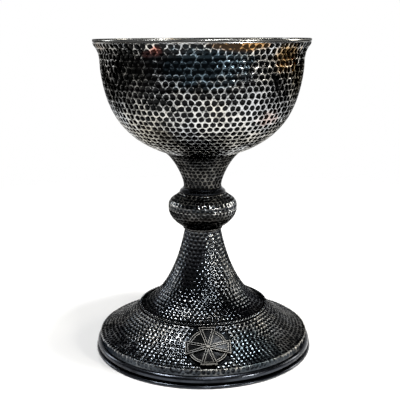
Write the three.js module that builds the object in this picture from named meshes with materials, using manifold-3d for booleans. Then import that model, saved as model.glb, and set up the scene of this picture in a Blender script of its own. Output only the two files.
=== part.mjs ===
// Communion chalice: raised and hammered sheet metal, built up as a stack on a threaded tie rod.
// Millimetres, +Z up.  The origin is the centre of the foot on the table, and the badge faces -Y.
// In every section below, x is the distance from the chalice's axis and y is the height.

import * as THREE from 'three';
import { mergeVertices } from 'three/addons/utils/BufferGeometryUtils.js';
import Module from 'manifold-3d';

const wasm = await Module();
wasm.setup();

// ---------- driving dimensions ----------

const GAP = 0.3; // play between pieces that touch
const WALL = 1.2; // raised sheet of the bowl, stem, knop and foot
const EDGE = 0.5; // upright edge that squares off a sheet where it meets its neighbour
const WIDE = 40; // facets round the bowl and the foot
const NARROW = 24; // facets round the stem and the small pieces

const RIM_TOP = 202;
const RIM_RADIUS = 68.1;
const LIP_RADIUS = 67.9;
const LIP_TOP = 200;
const BOWL_SIDE = { radius: 64.45, height: 192 }; // where the side turns out into the lip
const BOWL_SEAT = { radius: 24.2, height: 130.9 }; // where the bowl meets the upper stem
const BOWL_SEAT_SLOPE = THREE.MathUtils.degToRad(19);

const NECK = { radius: 12.2, height: 108 }; // foot of the upper stem
const KNOP_RADIUS = 22.45;
const KNOP_SEAM = 94.4;
const KNOP_TOP = { radius: 15, height: 104.2 };
const KNOP_BASE = { radius: 13, height: 81.9 };
const KNOP_HOLE = 6.2;
const STEM_TOP = { radius: 11.9, height: 79.7 };
const STEM_FLANGE = { radius: 40.5, height: 28.7 };

const FOOT_LAND = { inner: 30, outer: 43.2, height: 27.2 }; // flat that carries the stem's flange
const FOOT_SHOULDER = { radius: 68.9, height: 11.1 };
const FOOT_BAND = { radius: 69.7, height: 7.5 };
const MOULDING = { inner: 67.5, centre: 68.8, roll: 2.5, height: 4.7 };
const REST_RING = { inner: 65.5, outer: 72, thickness: 1.9, edge: 0.6 };
const ROPE = { radius: 42, wire: 0.9, sides: 8 };

const ROD_RADIUS = 3; // M6 tie rod
const ROD_END = { low: 14.5, high: 123.5 };
const ROD_BORE = 3.4; // clearance round the rod
const BOSS_BORE_END = 124;
const CLAMP_PLATE = { radius: 36, thickness: 1.8 };
const WASHER = { radius: 6.5, thickness: 1.3 };
const NUT = { acrossFlats: 10, thickness: 5 };

const BADGE_TURN = THREE.MathUtils.degToRad(3); // round the foot, towards +X
const BADGE_DOWN = 14.3; // from the top of the foot's slope to the badge's centre
const DISC = { radius: 12.3, base: 0.3, face: 0.9, ridge: 1.5, ridgeWidth: 0.6, ringWidth: 1.9 };
const CROSS = { arm: 13.7, halfWaist: 1.1, halfTip: 5.1, base: 1.2, face: 2.3, border: 1.5, recess: 0.6 };
const RIVET = { hole: 1.1, shank: 0.8, head: 1.4, headHeight: 0.9, burr: 2.4, burrThickness: 0.6 };

// ---------- shape helpers ----------

const at = (x, y) => new THREE.Vector2(x, y);
const spot = ({ radius, height }) => at(radius, height);

function sweepOf(start, startHandle, endHandle, end, steps) {
  return new THREE.CubicBezierCurve(start, startHandle, endHandle, end).getPoints(steps);
}

function leftNormal(from, to) {
  const along = to.clone().sub(from).normalize();
  return at(-along.y, along.x);
}

// The same line moved to its left by a distance, with mitred corners.  It never crosses the axis.
function setIn(outline, distance) {
  return outline.map((point, i) => {
    const sum = at(0, 0);
    if (i > 0) sum.add(leftNormal(outline[i - 1], point));
    if (i < outline.length - 1) sum.add(leftNormal(point, outline[i + 1]));
    const both = i > 0 && i < outline.length - 1;
    const reach = both ? (2 * distance) / sum.lengthSq() : distance;
    const moved = point.clone().addScaledVector(sum, reach);
    moved.x = Math.max(moved.x, 0);
    return moved;
  });
}

// Section of a piece of sheet: its outer line, drawn with the metal on the left, and its inner line.
const sheet = (outline) => [...outline, ...setIn(outline, WALL).reverse()];

// Solid of revolution about +Z from an anticlockwise section.
function turned(section, facets) {
  const startsOnAxis = section[0].x === 0;
  const loop = startsOnAxis ? section : [...section, section[0]];
  return new THREE.LatheGeometry(loop, facets).rotateX(Math.PI / 2);
}

const tube = (inner, outer, low, high) => [at(inner, low), at(outer, low), at(outer, high), at(inner, high)];
const bar = (radius, low, high) => [at(0, low), at(radius, low), at(radius, high), at(0, high)];

// ---------- joining and cutting ----------

function solidOf(geometry) {
  const bare = geometry.clone();
  bare.deleteAttribute('normal');
  bare.deleteAttribute('uv');
  const merged = mergeVertices(bare, 1e-4);
  const corners = merged.getIndex().array;
  const triVerts = [];
  for (let i = 0; i < corners.length; i += 3) {
    const [a, b, c] = corners.slice(i, i + 3);
    if (a !== b && b !== c && c !== a) triVerts.push(a, b, c);
  }
  const vertProperties = new Float32Array(merged.getAttribute('position').array);
  return new wasm.Manifold(new wasm.Mesh({ numProp: 3, vertProperties, triVerts: new Uint32Array(triVerts) }));
}

function geometryOf(solid) {
  const mesh = solid.getMesh();
  const geometry = new THREE.BufferGeometry();
  geometry.setAttribute('position', new THREE.BufferAttribute(new Float32Array(mesh.vertProperties), 3));
  geometry.setIndex(new THREE.BufferAttribute(new Uint32Array(mesh.triVerts), 1));
  geometry.computeVertexNormals();
  return geometry;
}

function cut(geometry, ...tools) {
  return geometryOf(tools.reduce((solid, tool) => solid.subtract(solidOf(tool)), solidOf(geometry)));
}

function join(...geometries) {
  return geometryOf(geometries.map(solidOf).reduce((whole, piece) => whole.add(piece)));
}

// ---------- bowl ----------

// Outer line of the bowl from the axis up to the lip.
function bowlOutline() {
  const domeRadius = BOWL_SEAT.radius / Math.sin(BOWL_SEAT_SLOPE);
  const domeCentre = BOWL_SEAT.height + domeRadius * Math.cos(BOWL_SEAT_SLOPE);
  const domeSteps = 3;
  const dome = [];
  for (let i = 0; i < domeSteps; i += 1) {
    const angle = (BOWL_SEAT_SLOPE * i) / domeSteps;
    dome.push(at(domeRadius * Math.sin(angle), domeCentre - domeRadius * Math.cos(angle)));
  }
  const body = sweepOf(spot(BOWL_SEAT), at(53.75, 141.05), at(62.9, 161.4), spot(BOWL_SIDE), 10);
  const lipEdge = at(LIP_RADIUS, LIP_TOP - EDGE);
  const lip = new THREE.QuadraticBezierCurve(spot(BOWL_SIDE), at(64.6, 194.2), lipEdge).getPoints(3);
  return [...dome, ...body, ...lip.slice(1), at(LIP_RADIUS, LIP_TOP)];
}

const bowlShell = () => turned(sheet(bowlOutline()), WIDE);

// Half-round wire soldered on the lip, flat on top.
function rimWire() {
  const low = LIP_TOP + GAP;
  const inner = LIP_RADIUS - WALL;
  const round = 0.4;
  return turned([
    at(inner, low),
    at(RIM_RADIUS - round, low),
    at(RIM_RADIUS, low + round),
    at(RIM_RADIUS, RIM_TOP - round),
    at(RIM_RADIUS - round, RIM_TOP),
    at(inner, RIM_TOP),
  ], WIDE);
}

// The bowl as a block, grown by the gap: it shapes whatever fits up under the bowl.
function bowlBlock() {
  const grown = setIn(bowlOutline(), -GAP);
  const lower = grown.filter((point) => point.y < BOWL_SIDE.height);
  return turned([...lower, at(0, BOWL_SIDE.height)], NARROW);
}

// Socket soldered under the bowl: the tie rod screws into it from below.
function bowlBoss() {
  const block = turned([
    at(0, BOSS_BORE_END),
    at(ROD_BORE, BOSS_BORE_END),
    at(ROD_BORE, 112),
    at(7, 112),
    at(7, 120),
    at(10.5, 124.5),
    at(10.5, 130),
    at(0, 130),
  ], NARROW);
  return cut(block, bowlBlock());
}

// ---------- stem and knop ----------

function upperStem() {
  const neckEdge = at(NECK.radius, NECK.height + EDGE);
  const flare = sweepOf(neckEdge, at(NECK.radius, 114.3), at(18.8, 126.7), at(24, 130.5), 7);
  return cut(turned(sheet([spot(NECK), ...flare]), NARROW), bowlBlock());
}

// Turned ring between the upper stem and the knop, with a spigot up into the stem.
function upperCollar() {
  const low = KNOP_TOP.height + GAP;
  const high = NECK.height - GAP;
  return turned([
    at(ROD_BORE, low),
    at(14.6, low),
    at(15, low + 0.5),
    at(14.6, low + 1.2),
    at(13.1, low + 2.1),
    at(12.7, high),
    at(10.6, high),
    at(10.6, high + 3),
    at(ROD_BORE, high + 3),
  ], NARROW);
}

function knopUpperShell() {
  const seam = KNOP_SEAM + GAP / 2;
  const side = sweepOf(
    at(KNOP_RADIUS, seam + EDGE), at(KNOP_RADIUS, seam + 6.2), at(17.9, 100.85), spot(KNOP_TOP), 6,
  );
  return turned(sheet([at(KNOP_RADIUS, seam), ...side, at(KNOP_HOLE, KNOP_TOP.height)]), NARROW);
}

function knopLowerShell() {
  const seam = KNOP_SEAM - GAP / 2;
  const side = sweepOf(
    spot(KNOP_BASE), at(15.1, 82.35), at(KNOP_RADIUS, seam - 6.5), at(KNOP_RADIUS, seam - EDGE), 6,
  );
  return turned(sheet([at(KNOP_HOLE, KNOP_BASE.height), ...side, at(KNOP_RADIUS, seam)]), NARROW);
}

// Tube inside the knop that carries the rod's pull, so that the thin shells don't.
function knopSpacerTube() {
  return turned(tube(ROD_BORE, KNOP_HOLE - GAP, KNOP_BASE.height, KNOP_TOP.height), NARROW);
}

// Turned ring between the knop and the lower stem, with a spigot down into the stem.
function lowerCollar() {
  const low = STEM_TOP.height + GAP;
  const high = KNOP_BASE.height - GAP;
  return turned([
    at(ROD_BORE, low - 3),
    at(10.3, low - 3),
    at(10.3, low),
    at(12.4, low),
    at(13, low + 0.5),
    at(13, high - 0.5),
    at(12.4, high),
    at(ROD_BORE, high),
  ], NARROW);
}

function lowerStem() {
  return turned(sheet(sweepOf(spot(STEM_FLANGE), at(25.5, 35.3), at(15.9, 57.8), spot(STEM_TOP), 10)), NARROW);
}

// Ring of twisted wire round the flange, as the round tube that its turns fill.
function ropeRing() {
  const ring = new THREE.TorusGeometry(ROPE.radius, ROPE.wire, ROPE.sides, WIDE);
  return ring.translate(0, 0, FOOT_LAND.height + GAP + ROPE.wire);
}

// ---------- foot ----------

const footSlope = new THREE.QuadraticBezierCurve(
  spot(FOOT_SHOULDER), at(56, 14.7), at(FOOT_LAND.outer, FOOT_LAND.height),
);

// A point of the foot's sloping face: across and up are measured along the sheet from the badge's
// centre, as on a flattened cone, and out is the height above the sheet.
function onFoot(across, up, out) {
  const length = footSlope.getLength();
  const centre = 1 - BADGE_DOWN / length;
  const tilt = footSlope.getTangentAt(centre).x;
  const slant = footSlope.getPointAt(centre).x / Math.abs(tilt);
  const reach = Math.hypot(slant - up, across);
  const place = THREE.MathUtils.clamp(centre - (reach - slant) / length, 0, 1);
  const direction = footSlope.getTangentAt(place);
  const surface = footSlope.getPointAt(place);
  const radius = surface.x + out * direction.y;
  const height = surface.y - out * direction.x;
  const turn = BADGE_TURN + Math.atan2(across, slant - up) / Math.abs(tilt);
  return new THREE.Vector3(radius * Math.sin(turn), -radius * Math.cos(turn), height);
}

// Lays a flat piece on the foot: its x runs across, its y up the slope and its z away from the sheet.
function laidOnFoot(geometry) {
  const places = geometry.getAttribute('position');
  for (let i = 0; i < places.count; i += 1) {
    const point = onFoot(places.getX(i), places.getY(i), places.getZ(i));
    places.setXYZ(i, point.x, point.y, point.z);
  }
  geometry.computeVertexNormals();
  return geometry;
}

// Stands a turned piece on the foot at the badge's centre, with its axis square to the sheet.
function squareToFoot(geometry) {
  const centre = onFoot(0, 0, 0);
  const out = onFoot(0, 0, 1).sub(centre);
  geometry.applyQuaternion(new THREE.Quaternion().setFromUnitVectors(new THREE.Vector3(0, 0, 1), out));
  return geometry.translate(centre.x, centre.y, centre.z);
}

const rivetHole = (facets = 16) => squareToFoot(turned(bar(RIVET.hole, -5, 5), facets));

function footShell() {
  const band = [spot(FOOT_BAND), at(FOOT_BAND.radius, FOOT_BAND.height + EDGE)];
  const land = at(FOOT_LAND.inner, FOOT_LAND.height);
  const shell = turned(sheet([...band, ...footSlope.getPoints(6), land]), WIDE);
  return cut(shell, rivetHole());
}

// Half-round moulding under the foot's band.
function footMoulding() {
  const steps = 6;
  const section = [at(MOULDING.inner, MOULDING.height - MOULDING.roll)];
  for (let i = 0; i <= steps; i += 1) {
    const angle = Math.PI * (i / steps - 0.5);
    const x = MOULDING.centre + MOULDING.roll * Math.cos(angle);
    section.push(at(x, MOULDING.height + MOULDING.roll * Math.sin(angle)));
  }
  section.push(at(MOULDING.inner, MOULDING.height + MOULDING.roll));
  return turned(section, WIDE);
}

// Flat ring that the chalice stands on.
function footRestRing() {
  const { inner, outer, thickness, edge } = REST_RING;
  return turned([
    at(inner, 0),
    at(outer - edge, 0),
    at(outer, edge),
    at(outer, thickness - edge),
    at(outer - edge, thickness),
    at(inner, thickness),
  ], WIDE);
}

// ---------- badge on the foot ----------

// One arm of the cross lying flat, from the centre out along a quarter-turn direction.
// Trim narrows it on every side, so that the same shape serves as the recess inside an arm.
function crossArm(quarter, trim, low, high) {
  const start = trim > 0 ? 3.2 : -0.5;
  const end = CROSS.arm - trim;
  const geometry = new THREE.BoxGeometry(2, 1, 1, 2, 4, 1).translate(0, 0.5, 0.5);
  const places = geometry.getAttribute('position');
  for (let i = 0; i < places.count; i += 1) {
    const along = start + (end - start) * places.getY(i);
    const flare = (CROSS.halfTip - CROSS.halfWaist) * (Math.max(along, 0) / CROSS.arm);
    const halfWidth = Math.max(CROSS.halfWaist + flare - trim, 0.25);
    places.setXYZ(i, places.getX(i) * halfWidth, along, low + (high - low) * places.getZ(i));
  }
  return geometry.rotateZ((quarter * Math.PI) / 2);
}

const arms = (trim, low, high) => [0, 1, 2, 3].map((quarter) => laidOnFoot(crossArm(quarter, trim, low, high)));

// Plain disc behind the cross.  Its raised double ring is notched where the arms pass over it.
function badgeDisc() {
  const { radius, base, face, ridge, ridgeWidth, ringWidth } = DISC;
  const groove = face + 0.2;
  const profile = [
    at(RIVET.hole, base),
    at(6.5, base),
    at(radius, base),
    at(radius, ridge),
    at(radius - ridgeWidth, ridge),
    at(radius - ridgeWidth, groove),
    at(radius - ringWidth + ridgeWidth, groove),
    at(radius - ringWidth + ridgeWidth, ridge),
    at(radius - ringWidth, ridge),
    at(radius - ringWidth, face),
    at(6.5, face),
    at(RIVET.hole, face),
  ];
  return cut(laidOnFoot(turned(profile, NARROW)), ...arms(-GAP, face + 0.02, ridge + 1));
}

function badgeCross() {
  const plate = join(...arms(0, CROSS.base, CROSS.face));
  return cut(plate, ...arms(CROSS.border, CROSS.face - CROSS.recess, CROSS.face + 1), rivetHole());
}

// Domed rivet through the badge and the foot, hammered over inside.
function badgeRivet() {
  const underHead = CROSS.face + GAP;
  const burrTop = -WALL - GAP;
  const tailTop = burrTop - RIVET.burrThickness - GAP;
  return squareToFoot(turned([
    at(0, tailTop - 0.7),
    at(1.2, tailTop - 0.7),
    at(1.6, tailTop),
    at(RIVET.shank, tailTop),
    at(RIVET.shank, underHead),
    at(RIVET.head, underHead),
    at(RIVET.head * 0.8, underHead + RIVET.headHeight * 0.7),
    at(RIVET.head * 0.4, underHead + RIVET.headHeight * 0.95),
    at(0, underHead + RIVET.headHeight),
  ], 16));
}

// Small washer under the rivet's hammered end.
function badgeRivetBurr() {
  const top = -WALL - GAP;
  return squareToFoot(turned(tube(RIVET.hole, RIVET.burr, top - RIVET.burrThickness, top), 16));
}

// ---------- tie rod and its clamp ----------

function tieRod() {
  const chamfer = 0.8;
  return turned([
    at(0, ROD_END.low),
    at(ROD_RADIUS - chamfer, ROD_END.low),
    at(ROD_RADIUS, ROD_END.low + chamfer),
    at(ROD_RADIUS, ROD_END.high - chamfer),
    at(ROD_RADIUS - chamfer, ROD_END.high),
    at(0, ROD_END.high),
  ], NARROW);
}

const plateTop = FOOT_LAND.height - WALL - GAP;
const washerTop = plateTop - CLAMP_PLATE.thickness - GAP;
const nutTop = washerTop - WASHER.thickness - GAP;

// Plate that pulls the foot and the stem up against the knop.
const clampPlate = () => turned(tube(ROD_BORE, CLAMP_PLATE.radius, plateTop - CLAMP_PLATE.thickness, plateTop), WIDE);

const plainWasher = () => turned(tube(ROD_BORE, WASHER.radius, washerTop - WASHER.thickness, washerTop), NARROW);

// Hexagon nut with its corners chamfered on both faces.
function hexNut() {
  const low = nutTop - NUT.thickness;
  const corner = NUT.acrossFlats / 2 / Math.cos(Math.PI / 6);
  const flat = NUT.acrossFlats / 2;
  const drop = (corner - flat) * Math.tan(Math.PI / 6);
  const prism = new THREE.CylinderGeometry(corner, corner, NUT.thickness, 6);
  prism.rotateX(Math.PI / 2).translate(0, 0, low + NUT.thickness / 2);
  const chamfer = turned([
    at(0, low),
    at(flat, low),
    at(corner, low + drop),
    at(corner, nutTop - drop),
    at(flat, nutTop),
    at(0, nutTop),
  ], 24);
  const blank = geometryOf(solidOf(prism).intersect(solidOf(chamfer)));
  return cut(blank, turned(bar(ROD_RADIUS + GAP, low - 1, nutTop + 1), 24));
}

// ---------- finishes ----------

const finishes = {
  tarnishedSilver: { color: 0x3a3d3f, roughness: 0.38, metalness: 1 },
  darkSilver: { color: 0x24282b, roughness: 0.42, metalness: 1 },
  polishedEdge: { color: 0x9c9a92, roughness: 0.25, metalness: 1 },
  brass: { color: 0x8d7440, roughness: 0.4, metalness: 1 },
  steel: { color: 0x6d6f71, roughness: 0.45, metalness: 1 },
};

// ---------- assembly ----------

const pieces = [
  ['bowl_shell', bowlShell, 'tarnishedSilver'],
  ['rim_wire', rimWire, 'polishedEdge'],
  ['bowl_boss', bowlBoss, 'brass'],
  ['upper_stem', upperStem, 'tarnishedSilver'],
  ['upper_collar', upperCollar, 'darkSilver'],
  ['knop_upper_shell', knopUpperShell, 'tarnishedSilver'],
  ['knop_lower_shell', knopLowerShell, 'tarnishedSilver'],
  ['knop_spacer_tube', knopSpacerTube, 'brass'],
  ['lower_collar', lowerCollar, 'darkSilver'],
  ['lower_stem', lowerStem, 'tarnishedSilver'],
  ['rope_ring', ropeRing, 'darkSilver'],
  ['foot_shell', footShell, 'tarnishedSilver'],
  ['foot_moulding', footMoulding, 'darkSilver'],
  ['foot_rest_ring', footRestRing, 'polishedEdge'],
  ['badge_disc', badgeDisc, 'darkSilver'],
  ['badge_cross', badgeCross, 'darkSilver'],
  ['badge_rivet', badgeRivet, 'polishedEdge'],
  ['badge_rivet_burr', badgeRivetBurr, 'polishedEdge'],
  ['tie_rod', tieRod, 'steel'],
  ['clamp_plate', clampPlate, 'brass'],
  ['plain_washer', plainWasher, 'steel'],
  ['hex_nut', hexNut, 'brass'],
];

const chalice = new THREE.Group();
for (const [name, build, finish] of pieces) {
  const piece = new THREE.Mesh(build(), new THREE.MeshStandardMaterial(finishes[finish]));
  piece.name = name;
  chalice.add(piece);
}

export default chalice;
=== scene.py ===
"""Looks of the communion chalice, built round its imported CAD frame.

Metres, +Z up.  The origin is the centre of the foot, and the badge faces -Y.  Angles round the axis
start at -Y and grow towards +X.  Every turned piece takes its outline from the CAD node it replaces.
"""

import math
import random

import bmesh
import bpy
import numpy as np
from mathutils import Matrix, Vector
from mathutils.geometry import delaunay_2d_cdt


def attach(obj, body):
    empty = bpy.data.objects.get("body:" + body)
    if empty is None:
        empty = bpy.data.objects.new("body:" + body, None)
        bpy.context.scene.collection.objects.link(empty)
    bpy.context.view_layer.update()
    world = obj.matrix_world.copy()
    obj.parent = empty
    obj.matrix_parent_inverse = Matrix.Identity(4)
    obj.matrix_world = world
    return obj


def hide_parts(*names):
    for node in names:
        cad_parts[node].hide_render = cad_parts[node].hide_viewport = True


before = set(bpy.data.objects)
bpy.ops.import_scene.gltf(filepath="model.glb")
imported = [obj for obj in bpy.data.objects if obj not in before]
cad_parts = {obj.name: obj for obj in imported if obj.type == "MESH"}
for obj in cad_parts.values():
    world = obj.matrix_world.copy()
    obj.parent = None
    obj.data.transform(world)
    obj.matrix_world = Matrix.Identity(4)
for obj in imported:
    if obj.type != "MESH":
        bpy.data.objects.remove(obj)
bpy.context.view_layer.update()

MM = 0.001
TURN = 2 * math.pi
FACETS = 144  # round a plain turned surface
ROD_FACETS = 48
FACET_LENGTH = 1.6 * MM  # longest facet along a plain turned surface
CURVE_STEPS = 10  # between two points of an outline
CORNER = math.radians(32)  # an outline that bends more than this at a point has a corner there
BEVEL = 0.12 * MM  # how far each corner is rounded off
CAP_EDGE = 4  # bevels from the axis to the edge of the cap that closes a piece there
SAME_SPOT = 0.03 * MM  # CAD vertices this close in the section are one point of the outline
MERGE = 0.002 * MM  # mesh points closer than this become one

# Hammer marks, as options of hammered
BOWL_MARKS = {"pitch": 4.15 * MM, "depth": 0.43 * MM, "mark_share": 0.48}
STEM_MARKS = {"pitch": 3.0 * MM, "depth": 0.3 * MM}
KNOP_MARKS = {"pitch": 2.9 * MM, "depth": 0.3 * MM}
FOOT_MARKS = {"pitch": 3.1 * MM, "depth": 0.32 * MM, "ripples": (0.3 * MM, 0)}
BAND_MARKS = {"pitch": 3.0 * MM, "depth": 0.22 * MM, "ridge_wear": 0.7, "ripples": (0, 0.3 * MM)}
JITTER = 0.12  # how far a blow lands from its place in the row, as a share of the pitch
ROW_SHARE = 0.85  # distance between rows as a share of the pitch
DEPTHS = (0.8, 1.15)  # least and greatest depth of a mark, as shares of its proper one
RADII = (0.93, 1.05)  # the same for its radius
GREATEST_LEAN = 0.25  # how much deeper a slanting blow makes one side of its mark
# A mark from its middle to its rim: share of its radius, share of its depth, and wear
DISH = ((0.0, 1.0, 0.0), (0.58, 0.66, 0.12), (1.0, 0.0, 0.92))
DISH_LIMIT = 0.9  # a mark goes no further than this share of the way to its area's edge
CREST = 0.05 * MM  # a ridge rounds over into the dishes beside it by this much
CORNER_WEAR, SIDE_WEAR = 0.8, 0.95  # of the ridge where three marks meet, and between two
LONG_SIDE = 0.25  # a side of a mark's area is long from this share of the pitch
MIRRORED = 3.2  # blows within this many pitches of an edge are mirrored in it
ON_EDGE = 1e-7  # a point on the map this close to an edge lies on it
RIPPLES, RIPPLE_STEP = 46, 20 * MM  # waves round a rippled edge for each step of its radius
RIPPLE_WEAR, RIPPLE_RUB = 1.3, 0.9  # wear of a rippled edge, and how far it goes up and down

ROPE = {"radius": 42 * MM, "height": 28.4 * MM, "strand": 0.5 * MM, "offset": 0.42 * MM, "turns": 56}
THREAD = {"pitch": 1.0 * MM, "depth": 0.5 * MM, "end": 10 * MM}

BADGE_TURN = math.radians(3)
BADGE_DOWN = 14.3 * MM  # from the top of the foot's slope to the badge's centre
BARE_ROUND_BADGE = 14.6 * MM  # the foot isn't hammered this close to the badge's centre
BARE_FADE = 1.2 * MM  # from there the hammer marks reach their full depth within this distance
# The badge's pieces are drawn flat, in millimetres, and then laid on the foot
CROSS = {"arm": 13.7, "half_waist": 1.1, "half_tip": 5.1, "base": 1.2, "top": 2.3, "panel": 1.7,
         "groove": 0.6, "worn_edge": 0.16}
DISC = {"bore": 1.1, "radius": 12.3, "base": 0.3, "face": 0.9, "ridge": 1.5, "ring": 1.9,
        "ridge_width": 0.6}
RIVET = {"head": 1.4, "shank": 0.8, "tail": 1.6, "dome": 0.5, "heights": (-3.1, -2.4, 2.35, 2.45)}


# ---------- outlines, read from the CAD nodes ----------

def section(node):
    """Outline of a turned CAD node as (radius, height) points, with the metal on its left.
    An outline that meets the axis starts and ends there.  Any other closes on itself."""
    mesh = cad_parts[node].data
    spots, spot_of = section_spots(mesh)
    links = {}
    for face in mesh.polygons:
        if min(mesh.vertices[k].co.y for k in face.vertices) < 0:
            continue  # the badge's holes are on the other side
        ring = [spot_of[k] for k in face.vertices]
        for a, b in zip(ring, ring[1:] + ring[:1]):
            if a != b:
                links.setdefault(a, set()).add(b)
                links.setdefault(b, set()).add(a)
    ends = sorted(k for k in links if len(links[k]) == 1)
    path = [ends[0] if ends else min(links)]
    while True:
        onward = sorted(k for k in links[path[-1]] if k not in path)
        if not onward:
            break
        path.append(onward[0])
    outline = np.array([spots[k] for k in path])
    x, y = outline.T
    area = np.sum(x * np.roll(y, -1) - np.roll(x, -1) * y)
    return outline if area > 0 else outline[::-1]


def section_spots(mesh):
    """The different (radius, height) spots of a mesh's vertices, and which spot each vertex has."""
    spots, spot_of = [], []
    for vertex in mesh.vertices:
        r, z = math.hypot(vertex.co.x, vertex.co.y), vertex.co.z
        near = (i for i, spot in enumerate(spots) if abs(spot[0] - r) + abs(spot[1] - z) < SAME_SPOT)
        index = next(near, len(spots))
        if index == len(spots):
            spots.append((r, z))
        spot_of.append(index)
    return spots, spot_of


def on_axis(point):
    return point[0] < 0.01 * MM


def stretches(node):
    """The outline of a turned CAD node, cut at its corners into smooth lists of points."""
    outline = section(node)
    before = outline - np.roll(outline, 1, axis=0)
    after = np.roll(outline, -1, axis=0) - outline
    cross = before[:, 0] * after[:, 1] - before[:, 1] * after[:, 0]
    bend = np.abs(np.arctan2(cross, (before * after).sum(1)))
    corners = [i for i in range(len(outline)) if bend[i] > CORNER]
    if on_axis(outline[0]):
        corners = sorted({0, len(outline) - 1, *corners})
        return [outline[a:b + 1] for a, b in zip(corners, corners[1:])]
    closed = np.concatenate([outline[corners[0]:], outline[:corners[0] + 1]])
    cuts = [i - corners[0] for i in corners] + [len(outline)]
    return [closed[a:b + 1] for a, b in zip(cuts, cuts[1:])]


def smooth_curve(points):
    """A finely stepped curve that runs smoothly through the points."""
    gaps = np.hypot(*np.diff(points, axis=0).T)[:, None]
    slopes = np.diff(points, axis=0) / gaps
    tangents = np.empty_like(points)
    tangents[1:-1] = (slopes[:-1] * gaps[1:] + slopes[1:] * gaps[:-1]) / (gaps[:-1] + gaps[1:])
    tangents[0] = 2 * slopes[0] - tangents[1] if len(points) > 2 else slopes[0]
    tangents[-1] = 2 * slopes[-1] - tangents[-2] if len(points) > 2 else slopes[-1]
    t = np.linspace(0, 1, CURVE_STEPS, endpoint=False)[:, None]
    parts = []
    for i, gap in enumerate(gaps[:, 0]):
        parts.append(
            (2 * t**3 - 3 * t**2 + 1) * points[i] + (t**3 - 2 * t**2 + t) * gap * tangents[i]
            + (3 * t**2 - 2 * t**3) * points[i + 1] + (t**3 - t**2) * gap * tangents[i + 1]
        )
    return np.concatenate(parts + [points[-1:]])


class Sheet:
    """A smooth stretch of outline turned round the axis.  Places on it are found by the distance
    along the outline, or by its map height: on a map of angle by map height, shapes keep their
    proportions, so that round hammer marks stay round."""

    def __init__(self, points):
        line = smooth_curve(points)
        lengths = np.hypot(*np.diff(line, axis=0).T)
        self.along = np.concatenate([[0], np.cumsum(lengths)])
        self.radii, self.heights = line.T
        direction = np.gradient(line, self.along, axis=0)
        direction /= np.hypot(*direction.T)[:, None]
        self.out_r, self.out_z = direction[:, 1], -direction[:, 0]
        middle = np.maximum((self.radii[:-1] + self.radii[1:]) / 2, 0.1 * MM)
        self.map_heights = np.concatenate([[0], np.cumsum(lengths / middle)])
        self.length = float(self.along[-1])

    def radius(self, along):
        return np.interp(along, self.along, self.radii)

    def map_height(self, along):
        return np.interp(along, self.along, self.map_heights)

    def along_at(self, map_height):
        return np.interp(map_height, self.map_heights, self.along)

    def where_radius(self, radius):
        return float(self.along[np.argmin(np.abs(self.radii - radius))])

    def distance(self, radius, height):
        """How far the sheet's outline passes from a point of the section."""
        return float(np.min(np.hypot(self.radii - radius, self.heights - height)))

    def places(self, angle, along, out):
        """Points at an angle round the axis, a distance along the sheet and a height above it."""
        r = self.radius(along) + out * np.interp(along, self.along, self.out_r)
        z = np.interp(along, self.along, self.heights) + out * np.interp(along, self.along, self.out_z)
        return np.stack([r * np.sin(angle), -r * np.cos(angle), z], axis=-1)


# ---------- meshes ----------

def circle(facets):
    """Angles round a circle, which the last one closes."""
    return np.arange(facets + 1) * TURN / facets


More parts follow.
